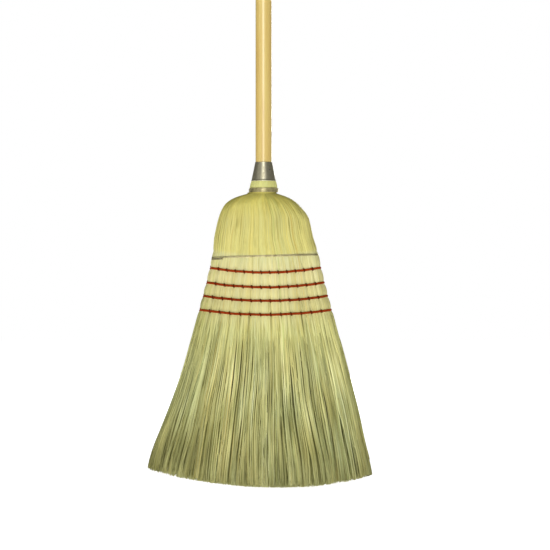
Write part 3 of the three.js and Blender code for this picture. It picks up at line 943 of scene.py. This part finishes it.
def lace_path(row):
    """The sewing twine: through the head, down over the wrap, back through, and slanting up behind."""
    centre = ROW_HEIGHTS[row]
    span, crest, over, inside = 2.2, 1.2, 3.0, -3.0
    tilt = 0.0016
    shares = stitch_shares(row)
    corners = []

    def add(share, dz, out, back=False):
        at = np.array([1 - share if back else share])
        point, _ = head_point(np.array([centre]), at, np.array([ROW_PINCH - out]))
        corners.append(point[0] + [0, 0, dz])

    for k, share in enumerate(shares):
        add(share - tilt, span, inside)
        add(share - tilt, span - 0.2, 0.3)
        add(share - tilt / 2, crest, over - 0.5)
        add(share + tilt / 2, -crest, over - 0.5)
        add(share + tilt, -span + 0.2, 0.3)
        add(share + tilt, -span, inside)
        if k + 1 < len(shares):
            following = shares[k + 1]
            add(share, -span, inside, back=True)
            add(share, -span + 0.2, 0.3, back=True)
            add(share + 0.12 * (following - share), -crest, over - 0.4, back=True)
            add(share + 0.88 * (following - share), crest, over - 0.4, back=True)
            add(following, span - 0.2, 0.3, back=True)
            add(following, span, inside, back=True)
    return resampled(rounded(np.array(corners), 2), 0.75)


def make_stitching():
    rng = np.random.default_rng(9)
    for row in range(ROWS):
        wrap = twine(f"stitch_row_{row + 1}_wrap", wrap_path(row), 3, WRAP_RADIUS, 7.0, rng)
        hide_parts(f"stitch_wrap_{row + 1}")
        # The laces are painted darker, as painted shade where each stitch pulls into the wrap.
        lace = twine(f"stitch_row_{row + 1}_lace", lace_path(row), 2, LACE_RADIUS, 4.5, rng, dark=0.4)
        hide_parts(f"stitch_lace_{row + 1}")


def wire(name, path, radius, tone):
    """A round wire; tone scales its colour at each point of the path (painted shade on the wire band)."""
    normal, _ = steady_normals(path)
    width = np.full((1, len(path)), radius)
    colour = np.repeat(tone[None, :, None], 3, axis=2)
    return tubes(name, path[None], normal[None], width, width, 12, WIRE, colour)


def make_wire_band():
    """Two turns of wire round the shoulders, the ends twisted together along the left of the front."""
    tail_start, tail_length, tail_twists = 0.018, 0.046, 4.0  # lengths are shares of the way round
    radius, half_pitch, sunk = 0.8, 0.82, 1.4

    def at(share, out, offset):
        """The point of the band at a share of the way round, and the outward normal."""
        height = BAND_HEIGHT
        for _ in range(3):
            point, normal = head_point(np.array([height]), np.array([share]), np.array([-out]))
            height += BAND_HEIGHT + BAND_SLOPE * point[0, 0] + offset - point[0, 2]
        return point[0], normal[0]

    share = np.linspace(0, 1, 60)
    angle = TAU * tail_twists * share
    laid = [
        at(tail_start + tail_length * t, radius * (1.3 - t), -half_pitch - 1.6 + 0.4 * t) for t in share
    ]
    middle, outward = (np.array(part) for part in zip(*laid))
    down = np.array([0, 0, -1])

    def tail(side):
        return middle + side * radius * (np.cos(angle)[:, None] * down + np.sin(angle)[:, None] * outward)

    turns = np.linspace(1.995, 0.005, 840)
    offsets = half_pitch * (2 * smooth((turns - 0.96) / 0.06) - 1)
    ring = np.array([at(tail_start + t, radius - sunk, o)[0] for t, o in zip(turns, offsets)])
    path = resampled(rounded(np.concatenate([tail(-1)[::-1], ring, tail(1)]), 1), 0.8)
    # The tone paints shade on the upper turn, under the bulging corn above the band, so it is darker than
    # the lower turn. The twisted tail below the band is darker still.
    below = (BAND_HEIGHT + BAND_SLOPE * path[:, 0] - path[:, 2]) / half_pitch
    tone = (0.72 + 0.28 * smooth(below)) * (1 - 0.5 * smooth(below - 1.2))
    piece = wire("wire_band_twist", path, radius, tone)
    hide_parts("wire_band")


def make_neck_winding():
    """Turns of bright wire that bind the corn to the handle, the loose end standing out at the left."""
    turns, radius = 5.0, 0.72
    reach, slant = 6.5, 0.018
    pitch = (winding_high[2] - winding_low[2] - 2 * radius) / turns
    turn = np.linspace(-0.05, turns, 460)
    angle = math.pi + 0.32 - TAU * turn
    leaving = smooth((0.07 - turn) / 0.12)
    away = NECK_RADIUS + radius + 0.25 + reach * leaving**2
    x, y = away * np.cos(angle), away * np.sin(angle)
    z = winding_low[2] + radius + pitch * np.maximum(turn, 0) + slant * x - 0.8 * leaving
    path = np.stack([x, y, z], axis=-1)
    piece = wire("neck_wire_turns", path, radius, np.ones(len(path)))
    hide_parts("neck_wire_winding")


# ---------------------------------------- ferrule, nails, handle


def make_ferrule():
    """A cone of rolled tin plate with a lapped seam at the back and a beaded lower edge."""
    bead = ferrule_high[0]
    low, high = ferrule_low[2], ferrule_high[2]
    bottom, top, wall = bead - 0.55, 12.55, 0.4
    along = np.linspace(0, 1, 24)
    side = np.stack([bottom + (top - bottom) * along, low + 2.2 + (high - low - 2.8) * along], axis=-1)
    profile = [
        (bottom - wall, low + 0.2),
        (bottom, low),
        (bead, low + 0.35),
        (bead + 0.1, low + 0.9),
        (bead, low + 1.45),
        *side,
        (top - 0.02, high - 0.2),
        (top - wall / 2, high),
        (top - wall, high - 0.25),
        (bottom - wall, low + 2.0),
        (bottom - wall, low + 0.2),
    ]
    seam = math.radians(78)

    def lap(angle):
        """The sheet's end lies over its start, so the radius grows round the cone."""
        turn = np.mod(angle - seam, TAU) / TAU
        return 0.32 * turn + 0.05 * np.sin(3 * angle) - 0.1

    piece = turned("tin_ferrule", profile, 240, TIN, wobble=lap)
    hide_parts("ferrule")


# How far from the handle's axis each nail head's underside sits.
NAIL_REACH = {"ferrule_nail_front": 15.35, "ferrule_nail_back": 15.35, "wire_end_nail": 19.6}


def make_nails():
    """Small round-headed nails, standing where the CAD's do."""
    head, dome_height, shank, length = 1.6, 0.75, 0.62, 8.6
    dome = [(head * math.sin(a), dome_height * math.cos(a)) for a in np.linspace(math.pi / 2, 0, 8)]
    profile = [(0, -length), (0.5, -8.0), (shank, -0.1), (head * 0.96, -0.12), *dome]
    for node, reach in NAIL_REACH.items():
        low, high = node_box(node)
        middle = (low + high) / 2
        outward = unit(middle * np.array([1.0, 1.0, 0.0]))
        piece = turned(f"{node}_round_head", profile, 28, NAIL)
        azimuth = math.atan2(outward[1], outward[0])
        turn = np.array(
            [
                [0, -math.sin(azimuth), math.cos(azimuth)],
                [0, math.cos(azimuth), math.sin(azimuth)],
                [-1, 0, 0],
            ]
        )
        co = np.empty(len(piece.data.vertices) * 3, dtype=np.float32)
        piece.data.vertices.foreach_get("co", co)
        co = co.reshape(-1, 3) @ turn.T + (outward * reach + [0, 0, middle[2]]) * MM
        piece.data.vertices.foreach_set("co", co.astype(np.float32).ravel())
        piece.data.update()
        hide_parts(node)


def make_handle():
    """The turned handle: a long cylinder with a domed end, its lower end hidden in the corn."""
    radius = handle_high[0]
    low, high = handle_low[2], handle_high[2]
    tip, taper, flat, dome = 8.0, 28.0, 5.0, 9.0
    shaft = [(radius, z) for z in np.linspace(low + taper, high - dome, 60)]
    end = [
        (flat + (radius - flat) * math.cos(a), high - dome + dome * math.sin(a))
        for a in np.linspace(0, math.pi / 2, 14)[1:]
    ]
    profile = [(0, low), (tip, low), *shaft, *end, (0, high)]

    def uneven(angle):
        """A turned handle is never quite round."""
        return 0.05 * np.sin(2 * angle + 0.6)

    piece = turned("wooden_handle", profile, 128, WOOD, wobble=uneven)
    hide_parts("handle")


def dress_hidden_nodes():
    """The CAD nodes that stay, all inside the head, get the real materials."""
    for node, material in (("core_wire_winding", OLD_WIRE), ("wire_start_nail", NAIL)):
        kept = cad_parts[node]
        for slot in kept.material_slots:
            slot.material = material


# ---------------------------------------- stage, light and camera


WHITE = (1, 1, 1, 1)


def make_floor():
    """A plain white floor, bright enough to run into the white behind it."""
    half, height = 9.0, -0.0005
    corners = [(x, y, height) for x, y in ((-half, -half), (half, -half), (half, half), (-half, half))]
    mesh = bpy.data.meshes.new("studio_floor")
    mesh.from_pydata(corners, [], [(0, 1, 2, 3)])
    look = Look("studio_floor", 0.9, specular=0.0)
    look.inputs["Base Color"].default_value = (0.6, 0.6, 0.6, 1)
    look.inputs["Emission Color"].default_value = WHITE
    look.inputs["Emission Strength"].default_value = 0.93
    mesh.materials.append(look.material)
    floor = bpy.data.objects.new("studio_floor", mesh)
    bpy.context.collection.objects.link(floor)


LIGHT_TARGET = (0, 0, 0.4)


def aimed_light(name, place, width, height, power):
    """A soft rectangular light that faces the broom."""
    light = bpy.data.lights.new(name, "AREA")
    light.shape = "RECTANGLE"
    light.size, light.size_y = width, height
    light.energy = power
    lamp = bpy.data.objects.new(name, light)
    bpy.context.collection.objects.link(lamp)
    direction = np.array(LIGHT_TARGET) - np.array(place)
    turn = direction / np.linalg.norm(direction)
    lamp.location = place
    lamp.rotation_euler = (math.acos(-turn[2]), 0, math.atan2(-turn[0], turn[1]))


def make_light():
    """White behind the broom, a dim glow all round it, and three soft lights."""
    world = bpy.data.worlds.new("white_studio")
    bpy.context.scene.world = world
    world.use_nodes = True
    nodes, links = world.node_tree.nodes, world.node_tree.links
    seen = nodes["Background"]
    around = nodes.new("ShaderNodeBackground")
    for background, strength in ((seen, 1.0), (around, 0.13)):
        background.inputs["Color"].default_value = WHITE
        background.inputs["Strength"].default_value = strength
    path = nodes.new("ShaderNodeLightPath")
    choose = nodes.new("ShaderNodeMixShader")
    links.new(path.outputs["Is Camera Ray"], choose.inputs["Fac"])
    links.new(around.outputs["Background"], choose.inputs[1])
    links.new(seen.outputs["Background"], choose.inputs[2])
    links.new(choose.outputs["Shader"], nodes["World Output"].inputs["Surface"])
    aimed_light("key", (-0.3, -4.6, 1.1), 1.6, 1.9, 124)
    aimed_light("left_fill", (-3.6, -2.2, 0.9), 1.2, 1.6, 12)
    aimed_light("back", (0.6, 4.2, 1.3), 1.6, 1.6, 110)


CAMERA_DISTANCE = 4.0
VIEW_WIDTH = 0.814  # metres across the frame at the broom
VIEW_CENTRE = (0.0168, 0.3138)  # across and up


def make_camera():
    """The photograph's view, level and straight from the front."""
    data = bpy.data.cameras.new("camera")
    data.sensor_width = 36
    data.lens = data.sensor_width * CAMERA_DISTANCE / VIEW_WIDTH
    data.clip_end = 50
    camera = bpy.data.objects.new("camera", data)
    bpy.context.collection.objects.link(camera)
    camera.location = (VIEW_CENTRE[0], -CAMERA_DISTANCE, VIEW_CENTRE[1])
    camera.rotation_euler = (math.pi / 2, 0, 0)
    bpy.context.scene.camera = camera


make_camera()
make_light()
make_floor()
make_core()
make_stalks()
make_brush()
make_cut_ends()
make_stitching()
make_wire_band()
make_neck_winding()
make_ferrule()
make_nails()
make_handle()
dress_hidden_nodes()
bpy.context.scene.view_settings.view_transform = "Standard"
